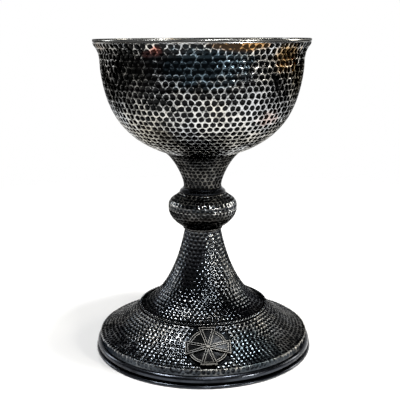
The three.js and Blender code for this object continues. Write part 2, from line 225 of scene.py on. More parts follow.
class Shell:
    """Gathers the points and faces of one piece.  Wear is 1 where the metal is rubbed bright."""

    def __init__(self):
        self.points, self.wear, self.faces = [], [], []

    def add(self, points, wear):
        first = len(self.points)
        self.points.extend(map(tuple, points))
        self.wear.extend(np.broadcast_to(wear, len(points)).tolist())
        return list(range(first, len(self.points)))

    def ring(self, sheet, along, wear, relief, count):
        """A ring of points round the sheet, as (angle, point) pairs in order of angle."""
        angles = np.arange(count) * TURN / count
        out = relief(angles, along) if relief else np.zeros(count)
        spread = sheet.places(angles, np.full(count, along), out)
        return list(zip(angles.tolist(), self.add(spread, wear)))

    def zip(self, lower, upper):
        """Faces between two rings, which may hold different numbers of points."""
        n, m = len(lower), len(upper)
        if n == m and abs(lower[0][0] - upper[0][0]) < 1e-9:
            for i in range(n):
                j = (i + 1) % n
                self.faces.append((lower[i][1], lower[j][1], upper[j][1], upper[i][1]))
            return
        i = j = 0
        while i < n or j < m:
            next_low = lower[(i + 1) % n][0] + TURN * ((i + 1) // n)
            next_up = upper[(j + 1) % m][0] + TURN * ((j + 1) // m)
            if j >= m or (i < n and next_low <= next_up):
                self.faces.append((lower[i % n][1], lower[(i + 1) % n][1], upper[j % m][1]))
                i += 1
            else:
                self.faces.append((lower[i % n][1], upper[(j + 1) % m][1], upper[j % m][1]))
                j += 1

    def plain(self, sheet, low, high, wear=0.5, relief=None, step=FACET_LENGTH, count=FACETS):
        """A smooth surface between two distances along the sheet.  It returns its two end rings."""
        rows = np.linspace(low, high, max(1, math.ceil((high - low) / step)) + 1)
        rings = [self.ring(sheet, along, wear, relief, count) for along in rows]
        for lower, upper in zip(rings, rings[1:]):
            self.zip(lower, upper)
        return rings[0], rings[-1]

    def cap(self, ring):
        """Closes a ring that lies close round the axis."""
        middle = self.add([np.mean([self.points[k] for _, k in ring], axis=0)], 0.5)[0]
        for (_, a), (_, b) in zip(ring, ring[1:] + ring[:1]):
            self.faces.append((a, b, middle))

    def grid(self, points, wear):
        """A patch from a table of points.  Wear is a table of the same size, or one number."""
        rows, columns = points.shape[:2]
        ids = self.add(points.reshape(-1, 3), np.broadcast_to(wear, (rows, columns)).reshape(-1))
        for i in range(rows - 1):
            for j in range(columns - 1):
                a = i * columns + j
                self.faces.append((ids[a], ids[a + 1], ids[a + columns + 1], ids[a + columns]))

    def fan(self, edge, middle, wear):
        """Triangles from each step of an edge to one point."""
        ids = self.add(edge, wear)
        centre = self.add([middle], wear)[0]
        for a, b in zip(ids, ids[1:]):
            self.faces.append((a, b, centre))

    def piece(self, name, sharp=math.radians(38)):
        mesh = bpy.data.meshes.new(name)
        mesh.from_pydata(self.points, [], self.faces)
        attribute = mesh.attributes.new("wear", "FLOAT", "POINT")
        attribute.data.foreach_set("value", np.asarray(self.wear, np.float32))
        model = bmesh.new()
        model.from_mesh(mesh)
        bmesh.ops.remove_doubles(model, verts=model.verts, dist=MERGE)
        bmesh.ops.recalc_face_normals(model, faces=model.faces)
        finish_mesh(model, mesh, sharp)
        return placed(name, mesh)


def finish_mesh(model, mesh, sharp):
    """Writes the model to the mesh, smooth apart from the edges that bend more than sharp."""
    for face in model.faces:
        face.smooth = True
    for edge in model.edges:
        edge.smooth = edge.calc_face_angle(0.0) < sharp
    model.to_mesh(mesh)
    model.free()


def placed(name, mesh):
    piece = bpy.data.objects.new(name, mesh)
    bpy.context.scene.collection.objects.link(piece)
    return piece


def turned(name, node, covers=(), wear=0.5, bevel=BEVEL):
    """A piece with the CAD node's outline.  Its stretches are plain, apart from those that pass
    through a place given in covers, in millimetres, which the function beside it covers instead."""
    shell = Shell()
    sheets = [Sheet(points) for points in stretches(node)]
    special = {}
    for (radius, height), cover in covers:
        gaps = [sheet.distance(radius * MM, height * MM) for sheet in sheets]
        special[gaps.index(min(gaps))] = cover
    rings = []
    for index, sheet in enumerate(sheets):
        edge = min(bevel, sheet.length / 4)
        low = CAP_EDGE * edge if on_axis([sheet.radii[0]]) else edge
        high = sheet.length - (CAP_EDGE * edge if on_axis([sheet.radii[-1]]) else edge)
        if index in special:
            rings.append(special[index](shell, sheet, low, high))
        else:
            rings.append(shell.plain(sheet, low, high, wear))
    for (_, end), (start, _) in zip(rings, rings[1:]):
        shell.zip(end, start)
    if on_axis([sheets[0].radii[0]]):
        shell.cap(rings[0][0])
        shell.cap(rings[-1][1])
    else:
        shell.zip(rings[-1][1], rings[0][0])
    return shell.piece(name)


def softened(name, node, bevel=0.15 * MM):
    """A copy of a CAD node with its edges rounded off."""
    flat, rounded, sharp = math.radians(2), math.radians(25), math.radians(50)
    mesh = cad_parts[node].data.copy()
    mesh.name = name
    mesh.materials.clear()
    model = bmesh.new()
    model.from_mesh(mesh)
    bmesh.ops.remove_doubles(model, verts=model.verts, dist=MERGE)
    bmesh.ops.dissolve_limit(model, angle_limit=flat, verts=model.verts, edges=model.edges)
    edges = [edge for edge in model.edges if edge.calc_face_angle(0.0) > rounded]
    bmesh.ops.bevel(model, geom=edges, offset=bevel, segments=2, affect="EDGES", profile=0.6)
    finish_mesh(model, mesh, sharp)
    return placed(name, mesh)


# ---------- hammered sheet ----------

def blows(sheet, low, high, pitch, rows, rng):
    """Where the hammer fell, as (angle, map height) points, in staggered rows."""
    step = (high - low) / rows
    found = []
    for row in range(rows):
        middle = low + step * (row + 0.5)
        count = round(TURN * float(sheet.radius(middle)) / pitch)
        start = 0.5 * (row % 2) + rng.uniform(-JITTER, JITTER)
        for k in range(count):
            angle = TURN * (k + start + rng.uniform(-JITTER, JITTER)) / count
            along = middle + step * rng.uniform(-JITTER, JITTER)
            found.append((angle % TURN, float(sheet.map_height(along))))
    return np.array(found)


def circle_centre(a, b, c):
    """Centre of the circle through three points, or None if they lie on a line."""
    spread = 2 * ((b[0] - a[0]) * (c[1] - a[1]) - (b[1] - a[1]) * (c[0] - a[0]))
    if abs(spread) < 1e-12:
        return None
    ab, ac = ((b - a) ** 2).sum(), ((c - a) ** 2).sum()
    return a + np.array([
        (c[1] - a[1]) * ab - (b[1] - a[1]) * ac,
        (b[0] - a[0]) * ac - (c[0] - a[0]) * ab,
    ]) / spread


def cells(places, map_low, map_high, reach):
    """For each place, the corners of the area nearer to it than to any other, seen from it.
    Places near an edge are mirrored in it, so that the areas end on a straight line there."""
    below = places[places[:, 1] < map_low + reach] * [1, -1] + [0, 2 * map_low]
    above = places[places[:, 1] > map_high - reach] * [1, -1] + [0, 2 * map_high]
    every = np.concatenate([places, below, above])
    left = every[every[:, 0] > TURN - reach] - [TURN, 0]
    right = every[every[:, 0] < reach] + [TURN, 0]
    every = np.concatenate([every, left, right])
    _, _, triangles, originals, _, _ = delaunay_2d_cdt([Vector(p) for p in every], [], [], 0, 1e-9)
    origin = [ids[0] for ids in originals]
    corners = [[] for _ in places]
    for triangle in triangles:
        ids = [origin[k] for k in triangle]
        centre = circle_centre(*every[ids])
        for k in ids:
            if centre is not None and k < len(places):
                corners[k].append(centre - every[k])
    for k, around in enumerate(corners):
        around.sort(key=lambda p: math.atan2(p[1], p[0]))
        corners[k] = [p for i, p in enumerate(around) if np.hypot(*(p - around[i - 1])) > 1e-5]
    return corners


def tidy_ring(ring):
    """The ring in order of angle, with one of each pair of points that lie together."""
    ring = sorted(ring)
    kept = [p for i, p in enumerate(ring) if i == 0 or p[0] - ring[i - 1][0] > 1e-6]
    if kept[0][0] + TURN - kept[-1][0] < 1e-6:
        kept.pop()
    return kept


def spokes_of(sheet, place, around, pitch):
    """Steps from a mark's centre to the corners of its area, and to the middles of its long sides.
    With each goes the wear of the ridge there."""
    spokes = []
    for i, corner in enumerate(around):
        after = around[(i + 1) % len(around)]
        halfway = (corner + after) / 2
        spokes.append((corner, CORNER_WEAR))
        width = np.hypot(*(after - corner)) * sheet.radius(sheet.along_at(place[1] + halfway[1]))
        if width > LONG_SIDE * pitch:
            spokes.append((halfway, SIDE_WEAR))
    return spokes


def mark_points(sheet, place, spokes, mark_radius, depth, strength, rng):
    """Points of one mark: its middle, the rings of its dish, and the ridge round it.  With them go
    their heights above the sheet and their wear.  At less than full strength the mark is fainter."""
    depth = depth * rng.uniform(*DEPTHS) * strength
    mark_radius = mark_radius * rng.uniform(*RADII)
    lean, lean_angle = rng.uniform(0, GREATEST_LEAN), rng.uniform(0, TURN)
    radius = float(sheet.radius(sheet.along_at(place[1])))
    steps, out, wear = [], [], []
    for share, level, shine in DISH:
        for spoke, _ in spokes[:1] if share == 0 else spokes:
            length = np.hypot(*spoke) * radius
            tilt = 1 + lean * share * math.cos(math.atan2(spoke[1], spoke[0]) - lean_angle)
            steps.append(spoke * (share * min(mark_radius, DISH_LIMIT * length) / length))
            out.append(-CREST * strength - depth * level * tilt)
            wear.append(shine)
    steps += [spoke for spoke, _ in spokes]
    out += [0.0] * len(spokes)
    wear += [shine for _, shine in spokes]
    return place + np.array(steps), np.array(out), np.array(wear) * strength


def mark_faces(shell, points):
    """Faces of one mark.  It returns the points of the ridge round it."""
    count = (len(points) - 1) // 3
    middle, inner, rim, ridge = points[0], points[1:1 + count], points[1 + count:-count], points[-count:]
    for i in range(count):
        j = (i + 1) % count
        shell.faces.append((middle, inner[i], inner[j]))
        shell.faces.append((inner[i], rim[i], rim[j], inner[j]))
        shell.faces.append((rim[i], ridge[i], ridge[j], rim[j]))
    return ridge


def ripple_edge(sheet, edge, ripple, spots, out, wear):
    """Makes the points at the map height edge rise and fall by the ripple, and rubs their tops bright."""
    at_edge = np.abs(spots[:, 1] - edge) < ON_EDGE
    radius = float(sheet.radius(sheet.along_at(edge)))
    waves = np.sin(RIPPLES * round(radius / RIPPLE_STEP) * spots[at_edge, 0])
    out[at_edge] += ripple * waves
    wear[at_edge] = RIPPLE_WEAR + RIPPLE_RUB * waves


def hammered(shell, sheet, low, high, pitch, depth, seed, rows=None, mark_share=0.455, bare=None,
             ridge_wear=1.0, ripples=(0, 0)):
    """Covers the sheet with hammer marks and returns its lower and upper edges as rings.
    Each mark is a round dish, whose radius is mark_share of the pitch.  What is left between the
    dishes is the ridge.  Marks are fainter where bare says so, with 1 for none.  An edge with a
    ripple, low or high, rises and falls by that much and is rubbed brighter."""
    rng = random.Random(seed)
    rows = rows or max(1, round((high - low) / (pitch * ROW_SHARE)))
    map_low, map_high = float(sheet.map_height(low)), float(sheet.map_height(high))
    places = blows(sheet, low, high, pitch, rows, rng)
    reach = MIRRORED * pitch / float(min(sheet.radius(low), sheet.radius(high)))
    edges = {map_low: [], map_high: []}
    for place, around in zip(places, cells(places, map_low, map_high, reach)):
        strength = 1 - bare(place[0], float(sheet.along_at(place[1]))) if bare else 1.0
        spokes = spokes_of(sheet, place, around, pitch)
        spots, out, wear = mark_points(sheet, place, spokes, mark_share * pitch, depth, strength, rng)
        wear *= ridge_wear
        for edge, ripple in zip(edges, ripples):
            if ripple:
                ripple_edge(sheet, edge, ripple, spots, out, wear)
        points = sheet.places(spots[:, 0], sheet.along_at(spots[:, 1]), out)
        ridge = mark_faces(shell, shell.add(points, wear))
        for point, (angle, height) in zip(ridge, spots[-len(ridge):]):
            for edge, found in edges.items():
                if abs(height - edge) < ON_EDGE:
                    found.append((angle % TURN, point))
    return tidy_ring(edges[map_low]), tidy_ring(edges[map_high])


def marks(seed, start=None, **options):
    """A cover of hammer marks.  Up to the radius start, where another piece hides it, it is plain."""
    def cover(shell, sheet, low, high):
        if start is None:
            return hammered(shell, sheet, low, high, seed=seed, **options)
        split = sheet.where_radius(start * MM)
        first, middle = shell.plain(sheet, low, split)
        lower, last = hammered(shell, sheet, split + BEVEL, high, seed=seed, **options)
        shell.zip(middle, lower)
        return first, last
    return cover


def smooth(wear, relief):
    """A cover with no hammer marks."""
    def cover(shell, sheet, low, high):
        return shell.plain(sheet, low, high, wear, relief)
    return cover


def planished(seed):
    """Slight unevenness left by a smoothing hammer, as a sum of waves."""
    amount, highest_sum = 0.035 * MM, 5
    rng = random.Random(seed)
    waves = [(rng.randint(5, 23), rng.uniform(0.1, 0.6) / MM, rng.uniform(0, TURN)) for _ in range(9)]

    def relief(angles, along):
        total = sum(np.sin(number * angles + rate * along + phase) for number, rate, phase in waves)
        return -amount * (1 + total / highest_sum)
    return relief


# ---------- badge ----------

slope = Sheet(max(stretches("foot_shell"), key=lambda points: points[-1][1] - points[0][1]))
badge_centre = slope.length - BADGE_DOWN
badge_tilt = float(np.interp(badge_centre, slope.along, slope.out_z))
badge_slant = float(slope.radius(badge_centre)) / badge_tilt


def on_foot(across, up, out):
    """Points of the foot's slope.  Across and up are measured along the sheet from the badge's
    centre, as on a flattened cone, and out is the height above the sheet."""
    reach = np.hypot(badge_slant - up, across)
    along = np.clip(badge_centre - (reach - badge_slant), 0, slope.length)
    angle = BADGE_TURN + np.arctan2(across, badge_slant - up) / badge_tilt
    return slope.places(angle, along, out)


def near_badge(angle, along):
    """1 on the bare metal round the badge, falling to 0 where the hammer marks start."""
    turn = (angle - BADGE_TURN + math.pi) % TURN - math.pi
    slant = badge_slant - (along - badge_centre)
    across = slant * math.sin(turn * badge_tilt)
    up = badge_slant - slant * math.cos(turn * badge_tilt)
    gap = math.hypot(across, up) - BARE_ROUND_BADGE
    return min(1.0, max(0.0, 1 - gap / BARE_FADE))


def half_width(along):
    """Half the width of the cross's arm at a distance from its centre."""
    flare = CROSS["half_tip"] - CROSS["half_waist"]
    return CROSS["half_waist"] + flare * np.maximum(along, 0) / CROSS["arm"]


def arm_relief():
    """One arm of the cross as tables of places across and along it, heights and wear."""
    arm, top, panel = CROSS["arm"], CROSS["top"], CROSS["panel"]
    groove, edge = top - CROSS["groove"], top - CROSS["worn_edge"]
    # From the outline inwards: distance, height and wear, with the two raised lines at the height top
    profile = np.array([
        (0.0, edge, 0.8), (0.12, top, 1.0), (0.42, top, 0.9), (0.58, groove, 0.0), (1.34, groove, 0.0),
        (1.5, top, 0.75), (1.8, top, 0.8), (2.0, panel, 0.0), (2.5, panel, 0.1),
    ])
    levels, heights, wears = profile.T
    insets = np.array([0, 0, 0.12, 0.26, 0.42, 0.58, 0.96, 1.34, 1.5, 1.64, 1.8, 2.0, 2.5, 3.2, 3.9])
    start = CROSS["half_waist"] / (1 - (CROSS["half_tip"] - CROSS["half_waist"]) / arm)
    rows = np.concatenate([arm - insets, [9.3, 8.2, 7.1, 6.0, 5.0, 4.0, 3.0, 2.5, 2.1, 1.8, start]])
    sides = np.concatenate([insets, insets[::-1]])
    signs = np.repeat([-1, 1], len(insets))
    along = np.repeat(rows[:, None], len(sides), axis=1)
    across = signs * np.maximum(half_width(along) - sides, 0)
    inset = np.minimum(half_width(along) - np.abs(across), arm - along)
    inner_line = 1.5  # where the arms meet, the height is that of the inner raised line
    inset = np.minimum(inset, along - start + inner_line)
    height, wear = np.interp(inset, levels, heights), np.interp(inset, levels, wears)
    height[0, :] = height[:, 0] = height[:, -1] = CROSS["base"]
    return across, along, height, wear


def badge_cross():
    """Cross with flared arms.  Two raised lines with a groove between them follow its outline, and
    each arm has a sunk panel."""
    shell = Shell()
    across, along, height, wear = arm_relief()
    top, base = CROSS["top"] * MM, CROSS["base"] * MM
    over, under = on_foot(0.0, 0.0, top), on_foot(0.0, 0.0, base)
    for quarter in range(4):
        c, s = round(math.cos(quarter * TURN / 4)), round(math.sin(quarter * TURN / 4))
        x, y = (across * c - along * s) * MM, (across * s + along * c) * MM
        upper, lower = on_foot(x, y, height * MM), on_foot(x, y, np.full_like(height, base))
        shell.grid(upper, wear)
        shell.grid(lower, 0.0)
        shell.fan(upper[-1][1:-1], over, wear=0.8)
        shell.fan(lower[-1], under, wear=0.0)
    return shell.piece("badge_cross_relief")


def ring_profile():
    """Closed section of the badge's disc: (radius, height, wear), out over the top and back below."""
    bore, radius, base, face, ridge = (DISC[key] for key in ("bore", "radius", "base", "face", "ridge"))
    width, inner, round_off = DISC["ridge_width"], DISC["radius"] - DISC["ring"], 0.1
    groove = face + 0.2
    top = [(bore, face, 0.2), *((r, face, 0.15) for r in (2.5, 4.5, 6.5, 8.5, inner - 0.12))]
    for start, low in ((inner, face + 0.1), (radius - width, groove)):
        end = start + width
        top += [(start, low, 0.2), (start + round_off, ridge - 0.05, 0.9), (start + width / 2, ridge, 1.0)]
        top += [(end - round_off, ridge - 0.08, 0.85), (end, groove, 0.2)]
    under = [(r, base, 0.0) for r in (radius, 9.0, 5.0, bore)]
    return np.array(top + under + top[:1])


def badge_disc():
    """Dented disc with a double raised ring, cut away where the cross lies over it."""
    face, clearance = DISC["face"], 0.3
    dents, dent_depth, dent_reach = 26, 0.12, 9
    profile = ring_profile()
    angles = circle(180)
    x, y = profile[:, :1] * np.sin(angles), profile[:, :1] * np.cos(angles)
    out = np.repeat(profile[:, 1:2], len(angles), axis=1)
    along, across = np.maximum(np.abs(x), np.abs(y)), np.minimum(np.abs(x), np.abs(y))
    covered = (across < half_width(along) + clearance) & (out > face)
    out = np.where(covered, face, out)
    rng = random.Random(7)
    level = out == face
    for _ in range(dents):
        from_x, from_y = (place - rng.uniform(-dent_reach, dent_reach) for place in (x, y))
        dent = dent_depth * np.exp(-(from_x ** 2 + from_y ** 2) / rng.uniform(0.5, 1.6))
        out = out - level * dent
    shell = Shell()
    shell.grid(on_foot(x * MM, y * MM, out * MM), np.repeat(profile[:, 2:3], len(angles), axis=1))
    return shell.piece("badge_disc_ring")


def badge_rivet():
    """Domed rivet through the badge's centre.  Its lower end is hammered out wider."""
    head, shank, tail, dome = RIVET["head"], RIVET["shank"], RIVET["tail"], RIVET["dome"]
    bottom, burr, cross, brow = RIVET["heights"]
    outline = [(0, bottom), (0.75 * tail, bottom), (tail, burr), (shank, burr), (shank, cross)]
    outline += [(head - 0.08, cross), (head, brow)]
    outline += [(head * math.cos(a), brow + dome * math.sin(a)) for a in np.linspace(0.15, 1.5, 8)]
    outline = np.array(outline + [(0, brow + dome)])
    angles = circle(48)
    height = np.repeat(outline[:, 1:], len(angles), axis=1)
    points = np.stack([outline[:, :1] * np.sin(angles), outline[:, :1] * np.cos(angles), height], axis=-1)
    centre = on_foot(0.0, 0.0, 0.0)
    right, out = on_foot(0.01 * MM, 0.0, 0.0) - centre, on_foot(0.0, 0.0, MM) - centre
    right, out = right / np.linalg.norm(right), out / np.linalg.norm(out)
    axes = np.stack([right, np.cross(out, right), out])
    shell = Shell()
    shell.grid(centre + points @ axes * MM, np.interp(height, [2.4, 2.6, 2.9], [0.1, 0.6, 1.0]))
    return shell.piece("badge_rivet_domed")


# ---------- rope and thread ----------

def rope():
    """Two strands of wire twisted together."""
    shell = Shell()
    radius, offset, strand, turns = ROPE["radius"], ROPE["offset"], ROPE["strand"], ROPE["turns"]
    angles = circle(turns * 12)[:, None]
    around = circle(9)
    lean = math.atan(turns * offset / radius)
    for first in (0, math.pi):
        twist = turns * angles + first
        side, rise = strand * np.cos(around), strand * np.sin(around) * math.cos(lean)
        r = radius + (offset + side) * np.cos(twist) - rise * np.sin(twist)
        z = ROPE["height"] + (offset + side) * np.sin(twist) + rise * np.cos(twist)
        turn = angles - strand * np.sin(around) * math.sin(lean) / radius
        points = np.stack([r * np.sin(turn), -r * np.cos(turn), z], axis=-1)
        shell.grid(points, 0.55 + 0.45 * np.cos(around))
    return shell.piece("rope_of_twisted_wire", sharp=math.radians(70))


def threaded(shell, sheet, low, high):
    """Screw thread on the rod's lower end.  The rest of the rod is plain."""
    pitch, end = THREAD["pitch"], THREAD["end"]

    def thread(angles, along):
        wave = (along / pitch + angles / TURN) % 1
        fade = min(1, (along - low) / pitch, (end - along) / pitch)
        return -THREAD["depth"] * fade * np.abs(2 * wave - 1)
    first, middle = shell.plain(sheet, low, end, relief=thread, step=pitch / 7, count=ROD_FACETS)
    start, last = shell.plain(sheet, end + BEVEL, high, step=20 * MM, count=ROD_FACETS)
    shell.zip(middle, start)
    return first, last


def notched(number, depth):
    """A cover with small rounded notches all round."""
    def relief(angles, along):
        return -depth * np.abs(np.cos(number * angles / 2)) ** 3

    def cover(shell, sheet, low, high):
        return shell.plain(sheet, low, high, wear=0.9, relief=relief, step=0.4 * MM, count=number * 6)
    return cover


# ---------- materials ----------

class Graph:
    """Adds nodes to a node tree.  Most methods return an output socket."""

    def __init__(self, tree):
        self.nodes, self.links = tree.nodes, tree.links

    def node(self, kind, inputs=(), **settings):
        node = self.nodes.new(kind)
        for key, value in settings.items():
            setattr(node, key, value)
        for socket, value in dict(inputs).items():
            self.put(node.inputs[socket], value)
        return node

    def put(self, socket, value):
        if isinstance(value, bpy.types.NodeSocket):
            self.links.new(value, socket)
        else:
            socket.default_value = value

    def math(self, operation, a, b):
        return self.node("ShaderNodeMath", {0: a, 1: b}, operation=operation).outputs[0]

    def ramp(self, value, low, high, to_low=0.0, to_high=1.0):
        inputs = {"Value": value, "From Min": low, "From Max": high, "To Min": to_low, "To Max": to_high}
        return self.node("ShaderNodeMapRange", inputs, interpolation_type="SMOOTHSTEP").outputs["Result"]

    def blend(self, share, a, b):
        """Goes from a to b, which are colour sockets or colours."""
        node = self.node("ShaderNodeMix", {"Factor": share}, data_type="RGBA")
        self.put(node.inputs[6], (*a, 1) if isinstance(a, tuple) else a)
        self.put(node.inputs[7], (*b, 1) if isinstance(b, tuple) else b)
        return node.outputs[2]


class Recipe(Graph):
    """Builds a material from places on the object and from its wear.  Sizes are in millimetres."""

    def __init__(self, name):
        self.material = bpy.data.materials.new(name)
        self.material.use_nodes = True
        super().__init__(self.material.node_tree)
        self.shader = self.nodes["Principled BSDF"]
        self.place = self.node("ShaderNodeTexCoord").outputs["Object"]

    def wear(self):
        return self.node("ShaderNodeAttribute", attribute_name="wear").outputs["Fac"]

    def height(self):
        """How high a place is, in metres."""
        return self.node("ShaderNodeSeparateXYZ", {0: self.place}).outputs["Z"]

    def vector(self, operation, a, b):
        return self.node("ShaderNodeVectorMath", {0: a, 1: b}, operation=operation).outputs

    def noise(self, size, detail=4.0, rough=0.55, stretch=(1, 1, 1)):
        place = self.vector("MULTIPLY", self.place, stretch)["Vector"]
        inputs = {"Vector": place, "Scale": 1 / (size * MM), "Detail": detail, "Roughness": rough}
        return self.node("ShaderNodeTexNoise", inputs).outputs["Fac"]

    def centred(self, value, amount):
        return self.math("MULTIPLY", self.math("SUBTRACT", value, 0.5), amount)

    def bump(self, height, strength, distance):
        inputs = {"Height": height, "Strength": strength, "Distance": distance * MM}
        return self.node("ShaderNodeBump", inputs).outputs["Normal"]

    def patch(self, centre, size, wobble):
        """1 inside a soft-edged blot at a place on the object and 0 outside it."""
        away = self.vector("SUBTRACT", self.place, tuple(c * MM for c in centre))["Vector"]
        scaled = self.vector("DIVIDE", away, tuple(s * MM for s in size))["Vector"]
        length = self.vector("LENGTH", scaled, (0, 0, 0))["Value"]
        return self.ramp(self.math("ADD", length, wobble), 0.55, 1.25, 1.0, 0.0)

    def finish(self, colour, roughness, metallic, normal):
        self.put(self.shader.inputs["Base Color"], colour)
        self.put(self.shader.inputs["Roughness"], roughness)
        self.put(self.shader.inputs["Metallic"], metallic)
        self.put(self.shader.inputs["Normal"], normal)
        return self.material


WARM_SILVER = (0.78, 0.755, 0.69)
COOL_SILVER = (0.66, 0.68, 0.7)
BLACKENED = (0.006, 0.0063, 0.0067)
BLUE_BLACK = (0.03, 0.034, 0.039)
PALEST_HOLLOW = 1.8  # as a multiple of the hollows' colour
RAGGED = 1.8  # how ragged the edges of the stain and painted shade patches are
# Heat and sulphur colours, and on the bowl two patches of painted shade: centre and size in millimetres,
# colour, strength
BOWL_STAINS_AND_SHADE = (
    ((3, -66, 187), (30, 18, 11), (0.14, 0.32, 0.46), 0.7),
    ((26, -68, 198.5), (22, 16, 3.6), (0.62, 0.3, 0.06), 0.85),
    ((52, -48, 191), (12, 18, 9), (0.62, 0.36, 0.1), 0.8),
    ((62, -30, 180), (9, 20, 12), (0.5, 0.4, 0.17), 0.6),
    ((-25, -62, 196), (3.5, 12, 3), (0.7, 0.12, 0.05), 0.7),
    ((-31, -60, 194), (3, 12, 2), (0.5, 0.06, 0.05), 0.6),
    ((42, -44, 156), (10, 12, 5), (0.55, 0.25, 0.18), 0.4),
    # painted shade: a dark grey patch over the bowl's upper left
    ((-52, -45, 182), (30, 26, 20), (0.2, 0.19, 0.17), 0.75),
    # partly an olive-brown stain, partly painted shade that dims the bowl's lower left
    ((-36, -40, 143), (24, 20, 12), (0.4, 0.35, 0.24), 0.55),
    ((-70, -34, 198), (14, 20, 3), (0.5, 0.34, 0.2), 0.6),
    ((20, 60, 175), (30, 18, 20), (0.2, 0.3, 0.4), 0.6),
    ((-40, 45, 188), (26, 20, 6), (0.55, 0.36, 0.12), 0.6),
)
STEM_STAINS = (
    ((2, -26, 40), (10, 10, 12), (0.16, 0.28, 0.36), 0.4),
    ((0, -20, 88), (16, 14, 4), (0.3, 0.24, 0.18), 0.4),
    ((-10, 20, 50), (14, 14, 20), (0.18, 0.3, 0.42), 0.4),
)
FOOT_STAINS = (
    ((-20, -60, 14), (60, 16, 14), (0.14, 0.2, 0.26), 0.35),
    ((30, -50, 16), (22, 18, 12), (0.12, 0.26, 0.32), 0.6),
    ((20, 55, 16), (50, 20, 14), (0.2, 0.28, 0.36), 0.4),
)


def scaled(factor, colour):
    return tuple(factor * part for part in colour)


def silver_colours(m, stains_and_shade, shine, hollow):
    """Colours of the hollows and of the ridges, with the stain and painted shade patches on both."""
    dark = m.blend(m.ramp(m.noise(16), 0.4, 0.7), hollow, scaled(PALEST_HOLLOW, hollow))
    cool_or_warm = m.ramp(m.noise(22, detail=2), 0.35, 0.65)
    bright = m.blend(cool_or_warm, scaled(shine, COOL_SILVER), scaled(shine, WARM_SILVER))
    wobble = m.centred(m.noise(6), RAGGED)
    for centre, size, colour, strength in stains_and_shade:
        patch = m.math("MULTIPLY", m.patch(centre, size, wobble), strength)
        dark = m.blend(m.math("MULTIPLY", patch, 0.25), dark, scaled(0.15, colour))
        bright = m.blend(patch, bright, scaled(shine, colour))
    return dark, bright


def tarnished(name, bright_wear, shine, stains_and_shade=(), rough=(0.12, 0.16), patchy=1.0, painted_shade_between=None,
              edge_shine=(0.2, 0.4), hollow=BLACKENED):
    """Silver that has the colour hollow in its hollows and is rubbed bright on its ridges.  It goes
    from dark to bright between the two wears of bright_wear, and patchy is how far noise shifts that.
    Shine is how bright the ridges get.  Between the two heights of the painted shade band they get thinner
    and darker upwards: painted shade towards the top.
    Rough and edge_shine go from hollow to ridge.  Edge_shine is how bright the silver is where the
    sheet turns away, as a share of clean metal."""
    m = Recipe(name)
    patches, blots = m.noise(36, detail=3, rough=0.5), m.noise(5, detail=2)
    specks, grain = m.noise(1.3, detail=5, rough=0.6), m.noise(0.35, detail=3, rough=0.6)
    wear = m.wear()
    for noise, amount in ((patches, 0.55), (blots, 0.6), (specks, 0.6)):
        wear = m.math("ADD", wear, m.centred(noise, amount * patchy))
    low, high = bright_wear
    # painted shade: higher up, less of each ridge turns bright
    if painted_shade_between:
        low = m.ramp(m.height(), *(limit * MM for limit in painted_shade_between), low, (low + high) / 2)
    share = m.ramp(wear, low, high)
    dark, bright = silver_colours(m, stains_and_shade, shine, hollow)
    at_hollow, at_ridge = ((part,) * 3 for part in edge_shine)
    m.put(m.shader.inputs["Specular Tint"], m.blend(share, at_hollow, at_ridge))
    roughness = m.math("ADD", m.ramp(share, 0, 1, *rough), m.math("MULTIPLY", specks, 0.08))
    relief = m.math("ADD", m.math("MULTIPLY", specks, 0.7), m.math("MULTIPLY", grain, 0.3))
    normal = m.bump(relief, strength=0.25, distance=0.2)
    return m.finish(m.blend(share, dark, bright), roughness, 1.0, normal)


def smooth_metal(name, colour, tarnish, rough, painted_highlight_band=None, edge_shine=1.0):
    """Turned metal with fine scratches round it and patches of the colour tarnish.  Below and above the
    two heights of the highlight band it takes the colour tarnish all over, as painted shade, which leaves
    a painted highlight line between them."""
    m = Recipe(name)
    scratches = m.noise(1.1, rough=0.6, stretch=(0.12, 0.12, 3.0))
    share = m.ramp(m.noise(18, detail=5, rough=0.6), 0.42, 0.72)
    # painted highlight band: outside it the colour is painted dark as shade
    if painted_highlight_band:
        height, fade = m.height(), 0.2 * MM
        bottom, top = (limit * MM for limit in painted_highlight_band)
        share = m.math("MAXIMUM", share, m.ramp(height, bottom - fade, bottom + fade, 1.0, 0.0))
        share = m.math("MAXIMUM", share, m.ramp(height, top - fade, top + fade))
    m.put(m.shader.inputs["Specular Tint"], (edge_shine, edge_shine, edge_shine, 1))
    uneven = 0.14
    roughness = m.ramp(share, 0, 1, rough, rough + uneven)
    roughness = m.math("ADD", m.math("MULTIPLY", scratches, uneven), roughness)
    relief = m.math("ADD", scratches, m.math("MULTIPLY", m.noise(1.6), 0.5))
    colour = m.blend(m.math("MULTIPLY", share, 0.9), colour, tarnish)
    return m.finish(colour, roughness, 1.0, m.bump(relief, strength=0.18, distance=0.1))


# ---------- stage ----------

FLOOR_RADII = (0.0, 0.1, 0.25, 0.45, 0.7)
FLOOR_FADE = (0.3, 0.62)  # the table fades out between these two distances from the chalice
AIM = (0, 0, 0.11)  # where all the lamps point
WHITE = (1, 1, 1)
# Lamps: name, place, width and height, watts, colour
LAMPS = (
    ("front_light", (0.1, -0.7, 0.9), (0.12, 0.12), 3.5, WHITE),
    ("overhead_light", (-0.48, -0.1, 1.1), (0.15, 0.15), 7, WHITE),
    ("ceiling_light", (0.2, -0.1, 1.15), (0.16, 0.16), 10, WHITE),
    ("right_light", (0.78, -0.7, 0.42), (0.12, 0.24), 6, (1, 0.96, 0.9)),
    ("left_light", (-0.95, 0.4, 0.4), (0.2, 0.4), 2, (0.97, 0.98, 1)),
    ("side_light", (1.05, 0.3, 0.4), (0.25, 0.4), 4, (1, 0.94, 0.84)),
    ("back_light", (-0.1, 1.1, 0.8), (0.2, 0.2), 3, WHITE),
)
# Lens and sensor in millimetres, turns in degrees: left, down and clockwise
CAMERA = {"lens": 66.2, "sensor": 36, "place": (0, -0.4704, 0.2056), "left": 0.21, "down": 12.83,
          "roll": 0.3}


